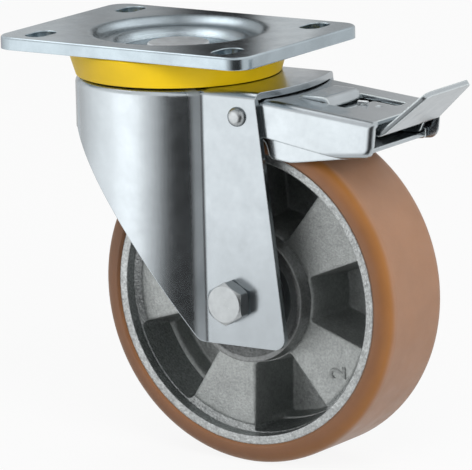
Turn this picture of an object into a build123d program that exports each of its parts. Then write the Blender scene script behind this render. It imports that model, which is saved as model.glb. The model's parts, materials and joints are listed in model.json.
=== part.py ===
from build123d import *
import math
import os

# Swivel castor with a pressed fork, a cast wheel centre and a brake that locks wheel and swivel.
# Millimetres. Origin at the centre of the mounting plate's top face, +Z out of the plate.
# X runs along the axle. The wheel trails towards -Y, where the foot pedal is.
# "left" is the -X side and "right" is the +X side.

# ---- clearances -------------------------------------------------------------------------
run_fit = 0.06         # radial clearance of a pin that turns in its hole
seat_fit = 0.02        # radial clearance of a pressed or stacked piece
slack = 0.3            # gap between faces that slide past each other
ball_play = 0.1        # radius of a ball track over the radius of its ball

# ---- wheel ------------------------------------------------------------------------------
wheel_r = 80.0
tyre_w = 50.0
tread_t = 9.6
shoulder_r = 7.2
rim_w = 48.0
rim_t = 3.9            # rim flange seen at the side
rim_key = 1.5          # depth of the groove that keys the tyre to the rim
web_w = 33.0           # corrugated web, over its outer faces
web_t = 5.0
pad_root = 2.4         # bevel where a pad runs out into the rim
arm_count = 5
arm_tilt = -17.0       # first left pad, from straight down towards -Y
pocket_left = 41.0     # degrees round the wheel that a pocket takes at the rim's face
pocket_right = 34.0
pocket_r = 2.5           # corners of a pocket, all the way down
pocket_edge = 0.3      # pocket's mouth to the walls of hub and rim
pocket_over = 0.5      # how far a pocket's cutter stands past the rim's face
draft = 7.0            # casting draft of the rim and hub walls
hub_r = 31.0
hub_bevel = 2.4

# ---- wheel bearings and axle ------------------------------------------------------------
bearing_r = 23.5
bearing_w = 14.0
bearing_bore_r = 10.0
bearing_inset = 3.0    # how far each bearing sits behind the hub's face
race_in_t = 3.6
race_out_t = 3.3
seal_dip = 0.6         # how far the bearing's seal lies behind its rings
spacer_t = 3.0
bush_t = 4.0
axle_r = 6.0
bolt_af = 18.0
bolt_head_h = 8.0
nut_hex_h = 8.0
nut_collar_h = 3.5
bolt_stick = 2.0       # thread past the nut

# ---- mounting plate ---------------------------------------------------------------------
plate_x = 105.0
plate_y = 140.0
plate_t = 6.0
plate_corner_r = 10.0
bolt_x = 75.0
bolt_y = 105.0
slot_w = 11.0
slot_len = 18.0
dish_r = 42.0          # where the pressed dish leaves the flat
dish_slope = 5.0
dish_depth = 4.0
step_r = 31.0
step_depth = 6.0
cup_r = 27.8
cup_depth = 8.0
press_shift = 3.5      # how much wider the pressing is underneath

# ---- swivel head ------------------------------------------------------------------------
upper_ball_r = 5.0
upper_track_r = 36.0
upper_count = 14
lower_ball_r = 4.0
lower_track_r = 22.0
lower_count = 10
ball_sink = 0.3        # how deep a ball lies below the face that carries it
pin_r = 7.0
pin_head_r = 14.7
pin_head_t = 2.4
pin_stick = 1.4
sleeve_t = 5.0
race_r = 28.0
race_t = 4.0
race_lip_h = 4.0
race_lip_t = 1.6
lock_r = 33.0
lock_t = 3.0
lock_notches = 24
notch_w = 4.2
notch_depth = 4.5
head_nut_af = 21.0
head_nut_h = 8.0
seal_top_over = 3.3    # how far the sealing ring stands past the drum at its top
seal_wall = 5.0
seal_edge = 1.0

# ---- fork -------------------------------------------------------------------------------
sheet_t = 3.0
drum_over = 3.5        # drum's outside past the pressing of the plate
offset_y = 50.0        # axle behind the swivel axis
tread_drop = 39.0      # top of the tread below the mounting face
leg_gap = 6.0          # wheel to leg
bend_r = 4.0
crease_r = 3.0
skirt_h = 24.6
skirt_y = 36.0
cut_sag = 4.0
leg_below = 21.0
leg_front = 17.0
leg_rear = 28.8
leg_corner_front = 5.0
leg_corner_rear = 6.0
crown_rear = 71.0
crown_arc_r = 92.0
crown_hole_play = 3.0  # crown hole to sleeve

# ---- brake housing ----------------------------------------------------------------------
box_t = 2.2
box_bend_r = 3.5
box_front = 36.0
box_break = 62.0       # where the roof starts to slope
box_slope = 5.5
box_rear = 126.0
roof_end_gap = 0.5
panel_front = 43.0
panel_corner_r = 6.0
window_half = 15.0
window_front = 92.0
window_rear = 117.0
tab_edge = 6.0
tab_front = 104.0
tongue_half = 13.5
tongue_root = 74.0
tongue_end = 90.0
tongue_rise = 2.4
dimple_r = 2.2

# ---- brake mechanism --------------------------------------------------------------------
pivot_y = 54.5
pivot_drop = 31.2
rivet_r = 3.0
rivet_dome_r = 4.65
rivet_dome_h = 2.9
lever_t = 2.0
lever_roof_gap = 1.0
lever_bend_r = 2.5
lever_roof_rear = 96.0
lever_rear = 119.5
lever_eye_r = 5.4
lip_h = 4.5            # lip rolled down at the rear of the lever's roof
lip_out = 1.4
lip_bend_r = 1.0
shoe_gap = 3.2         # shoe to tread with the brake off
shoe_t = 2.0
shoe_pad_drop = 43.2
shoe_shoulder = 50.0   # where the shoe narrows to its nose
nose_half = 14.0
nose_clear = 1.3       # nose to the tips of the lock's teeth, seen from above
nose_gap = 0.4         # lock fingers to lock disc with the brake off
finger_w = 2.6
finger_reach = 3.0     # how far a finger reaches under the disc
pedal_t = 2.5
pedal_half = 24.4
pedal_pin_y = 105.0
pedal_pin_drop = 37.5
pedal_pin_r = 3.0
pedal_knee_y = 126.5
pedal_knee_drop = 35.0
pedal_tip_y = 148.6
pedal_tip_drop = 15.6
pedal_tip_half = 19.2    # the foot plate narrows from its knee to its tip
pedal_front_y = 100.5
pedal_corner_r = 4.0
cheek_t = 2.2
spring_wire_r = 0.7
spring_turns = 4
spring_pitch = 1.8
spring_x = 2.0

# ---- derived places ---------------------------------------------------------------------
drum_r = dish_r + press_shift + drum_over
axle_y = -offset_y
axle_z = -(tread_drop + wheel_r)
fork_in = tyre_w / 2 + leg_gap
fork_out = fork_in + sheet_t
plate_low = -dish_depth - plate_t
cup_low = -cup_depth - plate_t
crown_z = plate_low - 2 * (upper_ball_r - ball_sink)
crown_low = crown_z - sheet_t
upper_ball_z = (plate_low + crown_z) / 2
race_z = crown_low - 2 * (lower_ball_r - ball_sink)
lower_ball_z = (crown_low + race_z) / 2
race_low = race_z - race_t
lock_low = race_low - lock_t
pin_end = lock_low - head_nut_h - pin_stick
sleeve_r = pin_r + seat_fit + sleeve_t
crown_hole_r = sleeve_r + crown_hole_play
rim_r = wheel_r - tread_t
rim_in = rim_r - rim_t
hub_w = rim_w
web_lean = math.tan(math.radians(draft)) * (hub_w - web_w) / 2
web_in = hub_r + web_lean
web_out = rim_in - web_lean - pad_root
root_rise = math.tan(math.radians(draft)) * pad_root
bearing_out = hub_w / 2 - bearing_inset
bearing_in = bearing_out - bearing_w
box_out = fork_in - slack
box_in = box_out - box_t
lever_out = box_in - slack
lever_in = lever_out - lever_t
tan_slope = math.tan(math.radians(box_slope))
pivot_z = -pivot_drop
pedal_pin_z = -pedal_pin_drop
beyond = 2 * plate_y     # size of a cutter that runs right through what it cuts


def rounded(plane, *corners):
    """Closed outline on a plane from corners given as (u, v, radius)."""
    points = [(u, v) for u, v, r in corners]
    radii = [r for u, v, r in corners]
    return plane * make_face(FilletPolyline(*points, radius=radii, close=True))


def across(outline, x0, x1):
    """Extrude an outline of the Y-Z plane along the axle, from x0 to x1."""
    return extrude(Pos(x0, 0, 0) * outline, x1 - x0)


def turned(*corners):
    """Revolve a half section (r, z, radius) about the swivel axis."""
    return revolve(rounded(Plane.XZ, *corners), Axis.Z)


def turned_x(*corners):
    """Revolve a half section (x, r, radius) about the axle."""
    body = revolve(rounded(Plane.XY, *corners), Axis.X)
    return Pos(0, axle_y, axle_z) * body


def tube_x(x0, x1, r_in, r_out, edge=0.0):
    return turned_x((x0, r_in, 0), (x0, r_out, edge), (x1, r_out, edge), (x1, r_in, 0))


def bent_strip(path, t, bend):
    """Outline of a sheet of thickness t whose middle follows path, bent with an inside radius."""
    left, right = [], []
    for i, (y, z) in enumerate(path):
        before = path[i - 1] if i else None
        after = path[i + 1] if i + 1 < len(path) else None
        a0 = math.atan2(z - before[1], y - before[0]) if before else None
        a1 = math.atan2(after[1] - z, after[0] - y) if after else None
        a0 = a1 if a0 is None else a0
        a1 = a0 if a1 is None else a1
        half = math.remainder(a1 - a0, 2 * math.pi) / 2
        mid = a0 + half
        reach = t / 2 / math.cos(half)
        ends = i == 0 or i == len(path) - 1
        inner = 0 if ends else bend
        outer = 0 if ends else bend + t
        left.append((y - reach * math.sin(mid), z + reach * math.cos(mid), inner if half > 0 else outer))
        right.append((y + reach * math.sin(mid), z - reach * math.cos(mid), outer if half > 0 else inner))
    return rounded(Plane.YZ, *left, *reversed(right))


def hexagon(af, z0, z1, chamfer_r):
    """Hexagon prism along Z with its corners turned off at both ends."""
    prism = Pos(0, 0, z0) * extrude(RegularPolygon(af / 2, 6, major_radius=False), z1 - z0)
    drop = (chamfer_r - af / 2) * math.tan(math.radians(30)) + 0.6
    cone = turned(
        (0, z0, 0), (af / 2 - 0.4, z0, 0), (chamfer_r, z0 + drop, 0),
        (chamfer_r, z1 - drop, 0), (af / 2 - 0.4, z1, 0), (0, z1, 0),
    )
    return prism & cone


# ---- plate and swivel head --------------------------------------------------------------
def top_plate():
    flat = extrude(RectangleRounded(plate_x, plate_y, plate_corner_r), -plate_t)
    out_r = dish_r + press_shift + 1
    flat -= Pos(0, 0, -plate_t) * Cylinder(out_r, 4 * plate_t)
    for x in (-bolt_x / 2, bolt_x / 2):
        for y in (-bolt_y / 2, bolt_y / 2):
            flat -= Pos(x, y, 0) * extrude(SlotOverall(slot_len, slot_w), plate_t, both=True)
    top_edges = flat.faces().sort_by(Axis.Z)[-1].outer_wire().edges()
    flat = fillet(top_edges, 1.2)
    dish_flat_r = dish_r - dish_slope
    under = press_shift
    hole = pin_r + seat_fit
    rim = Line((hole, -cup_depth), (cup_r, -cup_depth))
    step = Line((cup_r, -cup_depth), (cup_r + 0.7, -step_depth))
    slope = Line((cup_r + 0.7, -step_depth), (step_r, -dish_depth))
    shelf = Line((step_r, -dish_depth), (dish_flat_r, -dish_depth))
    curve = Bezier(
        (dish_flat_r, -dish_depth), (dish_flat_r + dish_slope / 2, -dish_depth),
        (dish_r - dish_slope / 2, 0), (dish_r, 0),
    )
    lip = Line((dish_r, 0), (out_r, 0))
    wall = Line((out_r, 0), (out_r, -plate_t))
    lip_low = Line((out_r, -plate_t), (dish_r + under, -plate_t))
    curve_low = Bezier(
        (dish_r + under, -plate_t), (dish_r + under - dish_slope / 2, -plate_t),
        (dish_flat_r + under + dish_slope / 2, plate_low), (dish_flat_r + under, plate_low),
    )
    shelf_low = Line((dish_flat_r + under, plate_low), (step_r + under / 2, plate_low))
    slope_low = Line((step_r + under / 2, plate_low), (cup_r - 1.5, cup_low))
    floor_low = Line((cup_r - 1.5, cup_low), (hole, cup_low))
    bore = Line((hole, cup_low), (hole, -cup_depth))
    edges = [rim, step, slope, shelf, curve, lip, wall, lip_low, curve_low]
    edges += [shelf_low, slope_low, floor_low, bore]
    dish = revolve(Plane.XZ * make_face(edges), Axis.Z)
    track = Pos(0, 0, upper_ball_z) * Torus(upper_track_r, upper_ball_r + ball_play)
    return flat + dish - track


def kingpin():
    top = pin_head_t - cup_depth
    return turned(
        (0, top, 0), (pin_head_r, top, 1.1), (pin_head_r, -cup_depth, 0),
        (pin_r, -cup_depth, 0), (pin_r, pin_end + 1, 0), (pin_r - 1, pin_end, 0), (0, pin_end, 0),
    )


def clamp_sleeve():
    bore = pin_r + seat_fit
    return turned((bore, cup_low, 0), (sleeve_r, cup_low, 0), (sleeve_r, race_z, 0), (bore, race_z, 0))


def lower_race():
    bore = pin_r + seat_fit
    lip = race_z + race_lip_h
    cup = turned(
        (bore, race_z, 0), (race_r - race_lip_t, race_z, 0), (race_r - race_lip_t, lip, 0),
        (race_r, lip, 0), (race_r, race_low, 2.5), (bore, race_low, 0),
    )
    return cup - Pos(0, 0, lower_ball_z) * Torus(lower_track_r, lower_ball_r + ball_play)


def lock_disc():
    """Plate with one flat for each tooth of the swivel lock."""
    flats = RegularPolygon(lock_r - notch_depth, lock_notches, major_radius=False)
    return extrude(Pos(0, 0, lock_low) * (flats - Circle(pin_r + seat_fit)), lock_t)


def lock_teeth():
    """Teeth on the flats of the lock disc; a finger of the brake shoe fits between any two."""
    half_pitch = math.radians(180 / lock_notches)
    root = lock_r - notch_depth
    inner = root * math.tan(half_pitch) - notch_w / 2
    outer = lock_r * math.tan(half_pitch) - notch_w / 2
    face = Polygon((-inner, root), (inner, root), (outer, lock_r), (-outer, lock_r), align=None)
    tooth = extrude(Pos(0, 0, lock_low) * face, lock_t)
    return Part() + [Rot(0, 0, 360 * (i + 0.5) / lock_notches) * tooth for i in range(lock_notches)]


def kingpin_nut():
    nut = hexagon(head_nut_af, lock_low - head_nut_h, lock_low, head_nut_af / 2 * 1.13)
    return nut - Pos(0, 0, lock_low) * Cylinder(pin_r + seat_fit, 4 * head_nut_h)


def seal_ring():
    low = crown_z + slack
    low_r = drum_r - slack
    top_r = drum_r + seal_top_over
    bore = dish_r + press_shift + 0.5
    lip = 1.3
    return turned(
        (bore, -plate_t, 0), (top_r - seal_edge, -plate_t, 0), (top_r, -plate_t - seal_edge, 0),
        (top_r - seal_edge, -plate_t - 4.6, 0), (low_r, low, 0), (low_r - lip, low, 0),
        (top_r - seal_wall, low + 5.5, 0), (bore, low + 6.5, 0),
    )


def ball_row(count, track_r, ball_r, z):
    ball = Pos(track_r, 0, z) * Sphere(ball_r)
    return Part() + [Rot(0, 0, 360 * (i + 0.5) / count) * ball for i in range(count)]


# ---- fork -------------------------------------------------------------------------------
def fork_plan(grow, length):
    """Keyhole seen from above: the drum with the two flat legs behind it."""
    r = drum_r + grow
    half = fork_out + grow
    plan = Circle(r) + Pos(0, -length / 2) * Rectangle(2 * half, length)
    meet_y = -math.sqrt(r * r - half * half)
    creases = plan.vertices().filter_by(lambda v: abs(v.Y - meet_y) < 0.01)
    return fillet(creases, crease_r - grow)


def fork_side():
    """Outline of the fork seen along the axle."""
    top = crown_z + 5
    bottom = axle_z - leg_below
    rear_top = math.sqrt(crown_arc_r ** 2 - fork_out ** 2) - crown_arc_r + crown_rear
    knee = (skirt_y, crown_z - skirt_h)
    toe = (axle_y + leg_front, bottom)
    front = drum_r + 5
    edges = [
        Line((front, top), (front, knee[1])),
        Line((front, knee[1]), knee),
        SagittaArc(knee, toe, -cut_sag),
        Line(toe, (axle_y - leg_rear, bottom)),
        Line((axle_y - leg_rear, bottom), (-rear_top, crown_low - 0.5)),
        Line((-rear_top, crown_low - 0.5), (-crown_rear - 5, crown_low - 0.5)),
        Line((-crown_rear - 5, crown_low - 0.5), (-crown_rear - 5, top)),
        Line((-crown_rear - 5, top), (front, top)),
    ]
    face = make_face(edges)
    corners = face.vertices()
    toe_v = corners.sort_by_distance((toe[0], toe[1], 0))[0]
    face = fillet([toe_v], leg_corner_front)
    heel_v = face.vertices().sort_by_distance((axle_y - leg_rear, bottom, 0))[0]
    face = fillet([heel_v], leg_corner_rear)
    return Plane.YZ * face


def fork():
    length = offset_y + leg_rear + 12
    depth = leg_below - axle_z
    outer = Pos(0, 0, crown_z) * extrude(fork_plan(0, length), -depth)
    rim = outer.faces().sort_by(Axis.Z)[-1].edges()
    rim = rim.filter_by(lambda e: e.center().Y > 1 - length)
    outer = fillet(rim, bend_r)
    inner = Pos(0, 0, crown_low) * extrude(fork_plan(-sheet_t, length + 10), -depth)
    rim = inner.faces().sort_by(Axis.Z)[-1].edges()
    rim = rim.filter_by(lambda e: e.center().Y > -9 - length)
    inner = fillet(rim, bend_r - sheet_t)
    shell = outer - inner
    shell &= across(fork_side(), -drum_r - 5, drum_r + 5)
    arc = Pos(0, crown_arc_r - crown_rear, 0) * Cylinder(crown_arc_r, beyond)
    behind = Pos(0, -crown_rear, crown_low) * Box(
        4 * drum_r, crown_rear, 2 * sheet_t + 1, align=(Align.CENTER, Align.CENTER, Align.MIN))
    behind = Pos(0, 0, -0.5) * behind
    shell -= behind - arc
    shell -= Pos(0, 0, crown_z) * Cylinder(crown_hole_r, 6 * sheet_t)
    shell -= Pos(0, 0, upper_ball_z) * Torus(upper_track_r, upper_ball_r + ball_play)
    shell -= Pos(0, 0, lower_ball_z) * Torus(lower_track_r, lower_ball_r + ball_play)
    shell -= rod_x(-fork_out - 5, fork_out + 5, axle_r + seat_fit, axle_y, axle_z)
    shell -= rod_x(-fork_out - 5, fork_out + 5, rivet_r + seat_fit, -pivot_y, pivot_z)
    return shell


def rod_x(x0, x1, r, y, z):
    return across(Plane.YZ * Pos(y, z) * Circle(r), x0, x1)


# ---- brake housing ----------------------------------------------------------------------
def roof_z(y):
    """Height of the housing's outer roof at distance y behind the swivel axis."""
    return crown_low - max(0.0, y - box_break) * tan_slope


def brake_housing():
    rear = box_rear
    panel = rounded(
        Plane.YZ,
        (-box_front, crown_low, 0), (-box_break, crown_low, 8), (-rear - 1.2, roof_z(rear + 1.2), 1.5),
        (-rear + 0.8, -46.0, panel_corner_r), (-rear + 16.7, -47.4, 0),
        (-69.2, -40.9, 0), (-panel_front - 4, -37.6, 2), (-panel_front, -33.5, 2),
        (-box_front, crown_low - 4, 1.5),
    )
    outer = across(panel, -box_out, box_out)
    top = outer.edges().filter_by(lambda e: abs(abs(e.center().X) - box_out) < 0.01)
    top = top.filter_by(lambda e: e.center().Z > roof_z(-e.center().Y) - 0.05)
    outer = fillet(top, box_bend_r)
    low = 60.0
    room = rounded(
        Plane.YZ,
        (10, crown_low - box_t, 0), (-box_break, crown_low - box_t, 8),
        (-rear - 20, roof_z(rear + 20) - box_t, 0), (-rear - 20, -low, 0), (10, -low, 0),
    )
    inner = across(room, -box_in, box_in)
    top = inner.edges().filter_by(lambda e: abs(abs(e.center().X) - box_in) < 0.01)
    top = top.filter_by(lambda e: e.center().Z > roof_z(-e.center().Y) - box_t - 0.05)
    inner = fillet(top, box_bend_r - box_t)
    shell = outer - inner
    behind = (Align.CENTER, Align.MAX, Align.CENTER)
    shell -= Pos(0, -rear, roof_z(rear)) * Box(2 * box_in - 3, 4, 12, align=behind)
    shell -= window_tool()
    shell += tongue()
    dimple_y = (tab_front + window_rear) / 2 + 1
    tilt = Pos(-1, -dimple_y, roof_z(dimple_y)) * Rot(box_slope, 0, 0)
    shell -= tilt * Pos(0, 0, 1.4) * Sphere(dimple_r)
    shell -= rod_x(-box_out - 1, box_out + 1, rivet_r + seat_fit, -pivot_y, pivot_z)
    return shell


def window_tool():
    """Opening in the roof: the lanced slot round the tongue, then an L-shaped window."""
    slot = tongue_half + 0.6
    plan = [
        (-slot, -tongue_root - 2.2, 0), (slot, -tongue_root - 2.2, 0), (slot, -window_front, 0),
        (window_half, -window_front, 0), (window_half, -window_rear, 2), (tab_edge, -window_rear, 2),
        (tab_edge, -tab_front, 1.5), (-window_half, -tab_front, 2), (-window_half, -window_front, 0),
        (-slot, -window_front, 0),
    ]
    return extrude(Pos(0, 0, -38) * rounded(Plane.XY, *plan), 20)


def tongue():
    mid = box_t / 2
    path = [
        (-tongue_root, roof_z(tongue_root) - mid),
        (-tongue_root - 2.2, roof_z(tongue_root + 2.2) - mid),
        (-tongue_root - 3.6, roof_z(tongue_root + 3.6) - mid + 1.5),
        (-tongue_end, roof_z(tongue_end) - mid + tongue_rise),
        (-tongue_end - 1.6, roof_z(tongue_end) - mid - 1.5),
    ]
    return across(bent_strip(path, box_t, 0.8), -tongue_half, tongue_half)


# ---- brake mechanism --------------------------------------------------------------------
def pivot_rivet(side):
    head = revolve(rounded(
        Plane.XY, (0, 0, 0), (0, rivet_r, 0), (fork_out - lever_in, rivet_r, 0),
        (fork_out - lever_in, rivet_dome_r, 0),
        (fork_out - lever_in + rivet_dome_h, rivet_dome_r, rivet_dome_h - 0.1),
        (fork_out - lever_in + rivet_dome_h, 0, 0),
    ), Axis.X)
    turn = Rot(0, 0, 180) if side < 0 else Rot(0, 0, 0)
    return Pos(side * lever_in, -pivot_y, pivot_z) * turn * head


def lever_roof(y):
    return roof_z(y) - box_t - lever_roof_gap


def brake_lever():
    eye = across(Plane.YZ * Pos(-pivot_y, pivot_z) * Circle(lever_eye_r), -lever_out, lever_out)
    roof_front = pivot_y + 3.5
    side = rounded(
        Plane.YZ,
        (-roof_front, lever_roof(roof_front), 0), (-box_break, lever_roof(box_break), 8),
        (-lever_roof_rear - 1.5, lever_roof(lever_roof_rear + 1.5), 0),
        (-lever_roof_rear - 3, pedal_pin_z - pedal_pin_r - 0.7, 2),
        (-lever_rear, pedal_pin_z - pedal_pin_r - 0.7, 1), (-lever_rear, -46, 2), (-107, -47.6, 0),
        (-84.9, -51, 4), (-79.4, -51.7, 4), (-68.5, -50.6, 3), (-66.4, -43.5, 4),
        (-pivot_y - 2, pivot_z - lever_eye_r + 0.5, 4), (-pivot_y + 1, pivot_z, 0),
    )
    outer = across(side, -lever_out, lever_out)
    top = outer.edges().filter_by(lambda e: abs(abs(e.center().X) - lever_out) < 0.01)
    top = top.filter_by(lambda e: e.center().Z > lever_roof(-e.center().Y) - 0.05)
    outer = fillet(top, lever_bend_r)
    room = rounded(
        Plane.YZ,
        (10, -15, 0), (-roof_front, -15, 0), (-roof_front, lever_roof(roof_front) - lever_t, 0),
        (-box_break, lever_roof(box_break) - lever_t, 8),
        (-lever_roof_rear, lever_roof(lever_roof_rear) - lever_t, 0), (-lever_roof_rear, -15, 0),
        (-lever_rear - 10, -15, 0), (-lever_rear - 10, -70, 0), (10, -70, 0),
    )
    body = outer + eye - across(room, -lever_in, lever_in)
    drop = lever_roof(lever_roof_rear) - lever_t / 2
    lip = bent_strip([
        (-lever_roof_rear + lip_h, drop + lip_h * tan_slope),
        (-lever_roof_rear - lip_out / 2, drop - lip_out / 2 * tan_slope),
        (-lever_roof_rear - lip_out, drop - lip_h),
    ], lever_t, lip_bend_r)
    body += across(lip, -lever_in, lever_in)
    return body - rod_x(-lever_out - 1, lever_out + 1, rivet_r + run_fit, -pivot_y, pivot_z)


def shoe_outline():
    """Plate that follows the tread: rear pad, arc over the tyre, ramp and lock nose."""
    low_r = wheel_r + shoe_gap
    top_r = low_r + shoe_t
    pad_top = -shoe_pad_drop
    nose_top = lock_low - nose_gap
    ramp_y, ramp_len = 38.0, 8.0

    def arc_z(r, y):
        return axle_z + math.sqrt(r * r - (y - axle_y) ** 2)

    def arc_y(r, z):
        return axle_y - math.sqrt(r * r - (z - axle_z) ** 2)

    rear = -lever_rear + 0.5
    start = -ramp_y - ramp_len
    tip = -(lock_r - finger_reach)
    low_a, low_b = (start, arc_z(low_r, start)), (arc_y(low_r, pad_top - shoe_t), pad_top - shoe_t)
    top_a, top_b = (start, arc_z(top_r, start)), (arc_y(top_r, pad_top), pad_top)
    low_mid = (axle_y - low_r * 0.25, arc_z(low_r, axle_y - low_r * 0.25))
    top_mid = (axle_y - top_r * 0.25, arc_z(top_r, axle_y - top_r * 0.25))
    edges = [
        Line((rear, pad_top), top_b), ThreePointArc(top_b, top_mid, top_a),
        Line(top_a, (-ramp_y, nose_top)), Line((-ramp_y, nose_top), (tip, nose_top)),
        Line((tip, nose_top), (tip, nose_top - shoe_t)),
        Line((tip, nose_top - shoe_t), (-ramp_y, nose_top - shoe_t)),
        Line((-ramp_y, nose_top - shoe_t), low_a), ThreePointArc(low_a, low_mid, low_b),
        Line(low_b, (rear, pad_top - shoe_t)), Line((rear, pad_top - shoe_t), (rear, pad_top)),
    ]
    return Plane.YZ * make_face(edges)


def brake_shoe():
    section = shoe_outline()
    wide = across(section, -lever_in, lever_in)
    wide &= Pos(0, -shoe_shoulder, 0) * Box(
        beyond, beyond, beyond, align=(Align.CENTER, Align.MAX, Align.CENTER))
    nose = across(section, -nose_half, nose_half)
    sweep_r = lock_r + nose_clear
    ring = Pos(0, 0, lock_low) * (Cylinder(sweep_r, beyond) - Cylinder(lock_r - 3 * finger_reach, 2 * beyond))
    finger = Pos(0, -lock_r, lock_low) * Box(finger_w, 4 * finger_reach, beyond)
    step = 360 / lock_notches
    fingers = Part() + [Rot(0, 0, a) * finger for a in (-step, 0, step)]
    nose -= ring - fingers
    return wide + nose


def pedal_pin():
    """Pin welded between the panels of the housing, so that its ends don't show."""
    return rod_x(-box_in, box_in, pedal_pin_r, -pedal_pin_y, pedal_pin_z)


def pedal():
    front_z = pedal_pin_z + pedal_pin_r + slack + pedal_t / 2 + 0.45
    path = [(-pedal_tip_y, -pedal_tip_drop), (-pedal_knee_y, -pedal_knee_drop), (-pedal_front_y, front_z)]
    blank = across(bent_strip(path, pedal_t, 3.0), -pedal_half, pedal_half)
    narrowing = (pedal_half - pedal_tip_half) / (pedal_tip_y - pedal_knee_y)
    past = pedal_tip_y + 2 * pedal_t
    past_half = pedal_half - narrowing * (past - pedal_knee_y)
    plan = Polygon((-pedal_half, 0), (-pedal_half, -pedal_knee_y), (-past_half, -past), (past_half, -past),
                   (pedal_half, -pedal_knee_y), (pedal_half, 0), align=None)
    blank &= extrude(plan, beyond, both=True)
    tips = blank.edges().filter_by(lambda e: e.center().Y < 2 - pedal_tip_y and e.length < pedal_t + 0.3)
    tips = tips.filter_by(lambda e: abs(e.center().X) > pedal_tip_half - pedal_t)
    blank = fillet(tips, pedal_corner_r)
    cheek_low = -shoe_pad_drop + 0.4
    cheek = rounded(
        Plane.YZ,
        (-pedal_front_y, front_z, 0), (-pedal_front_y + 1, pedal_pin_z - 2, 2),
        (-pedal_pin_y + 1, cheek_low, 3),
        (-pedal_pin_y - 13.5, cheek_low, 2.5), (-pedal_pin_y - 16.5, -pedal_knee_drop - 2, 3),
        (-pedal_knee_y + 3, -pedal_knee_drop + 0.28, 0),
    )
    body = blank
    for x in (-pedal_half, pedal_half - cheek_t):
        body += across(cheek, x, x + cheek_t)
    coil = spring_pitch * spring_turns / 2 + 2 * spring_wire_r + 0.8
    slot = Pos(spring_x, -pedal_pin_y + 7, front_z) * Box(
        2 * coil, 13.5, 12, align=(Align.CENTER, Align.MAX, Align.CENTER))
    body -= slot
    return body - rod_x(-pedal_half - 1, pedal_half + 1, pedal_pin_r + run_fit, -pedal_pin_y, pedal_pin_z)


def return_spring():
    """Torsion spring on the pedal pin with one leg hooked over the housing's tab."""
    coil_r = pedal_pin_r + spring_wire_r + slack + 0.2
    height = spring_pitch * spring_turns
    helix = Helix(spring_pitch, height, coil_r)
    ring = Plane(origin=helix @ 0, z_dir=helix % 0) * RegularPolygon(spring_wire_r, 6)
    coil = sweep(ring, path=helix, is_frenet=True)
    hook_z = roof_z(tab_front) + spring_wire_r + 0.15
    y0 = -pedal_pin_y
    up_len = hook_z - pedal_pin_z
    place = Pos(spring_x - height / 2, y0, pedal_pin_z) * Rot(0, 90, 0) * Rot(0, 0, 90)
    coil = place * coil
    leg = rod_wire((spring_x - height / 2, y0 + coil_r, pedal_pin_z), (0, 0, 1), up_len)
    hook = rod_wire((spring_x - height / 2, y0 + coil_r, hook_z), (0, -1, 0), coil_r + 0.8)
    knee = Pos(spring_x - height / 2, y0 + coil_r, hook_z) * Sphere(spring_wire_r)
    tail = rod_wire((spring_x + height / 2, y0 + coil_r, pedal_pin_z), (0, -0.35, -1), 4.2)
    return coil + leg + hook + knee + tail


def rod_wire(start, direction, length):
    plane = Plane(origin=start, z_dir=direction)
    return extrude(plane * Circle(spring_wire_r), length)


# ---- axle -------------------------------------------------------------------------------
def along_x(body, x, flip=False):
    """Turn a body made along Z so that it lies on the axle, its z=0 plane at x."""
    return Pos(x, axle_y, axle_z) * Rot(0, -90 if flip else 90, 0) * body


def axle_bolt():
    head = hexagon(bolt_af, 0, bolt_head_h, bolt_af / 2 * 1.13)
    length = 2 * fork_out + nut_hex_h + nut_collar_h + bolt_stick
    end = -length
    shank = turned((0, 0, 0), (axle_r, 0, 0), (axle_r, end + 1, 0), (axle_r - 1, end, 0), (0, end, 0))
    return along_x(head + shank, -fork_out, flip=True)


def axle_nut():
    body = hexagon(bolt_af, 0, nut_hex_h, bolt_af / 2 * 1.13)
    top = nut_hex_h + nut_collar_h
    body += turned((0, nut_hex_h - 1, 0), (bolt_af / 2 - 0.6, nut_hex_h - 1, 0),
                   (bolt_af / 2 - 0.6, top - 1.2, 0), (bolt_af / 2 - 1.8, top, 0), (0, top, 0))
    return along_x(body - Cylinder(axle_r + seat_fit, beyond), fork_out)


def axle_tube():
    return tube_x(-fork_in, fork_in, axle_r + seat_fit, bearing_bore_r - seat_fit)


def side_bush(side):
    x = sorted((side * bearing_out, side * fork_in))
    return tube_x(x[0], x[1], bearing_bore_r, bearing_bore_r + bush_t)


def bearing_spacer():
    return tube_x(-bearing_in, bearing_in, bearing_bore_r, bearing_bore_r + spacer_t)


def bearing_inner(side):
    """Inner ring of the sealed ball bearing, which stays with the axle."""
    x = sorted((side * bearing_in, side * bearing_out))
    return tube_x(x[0], x[1], bearing_bore_r, bearing_bore_r + race_in_t)


def bearing_outer(side):
    """Outer ring with its two seals, which turn with the wheel."""
    x0, x1 = sorted((side * bearing_in, side * bearing_out))
    ring_r = bearing_r - race_out_t
    return turned_x(
        (x0, bearing_r - seat_fit, 0), (x0, ring_r, 0), (x0 + seal_dip, ring_r, 0),
        (x0 + seal_dip, bearing_bore_r + race_in_t + run_fit, 0),
        (x1 - seal_dip, bearing_bore_r + race_in_t + run_fit, 0), (x1 - seal_dip, ring_r, 0),
        (x1, ring_r, 0), (x1, bearing_r - seat_fit, 0),
    )


# ---- wheel ------------------------------------------------------------------------------
def sector(r_in, r_out, spread):
    """Ring sector about straight down."""
    reach = 3 * r_out
    a = math.radians(spread / 2)
    wedge = Polygon((0, 0), (reach * math.sin(a), -reach * math.cos(a)),
                    (-reach * math.sin(a), -reach * math.cos(a)), align=None)
    return (Circle(r_out) - Circle(r_in)) & wedge


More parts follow.
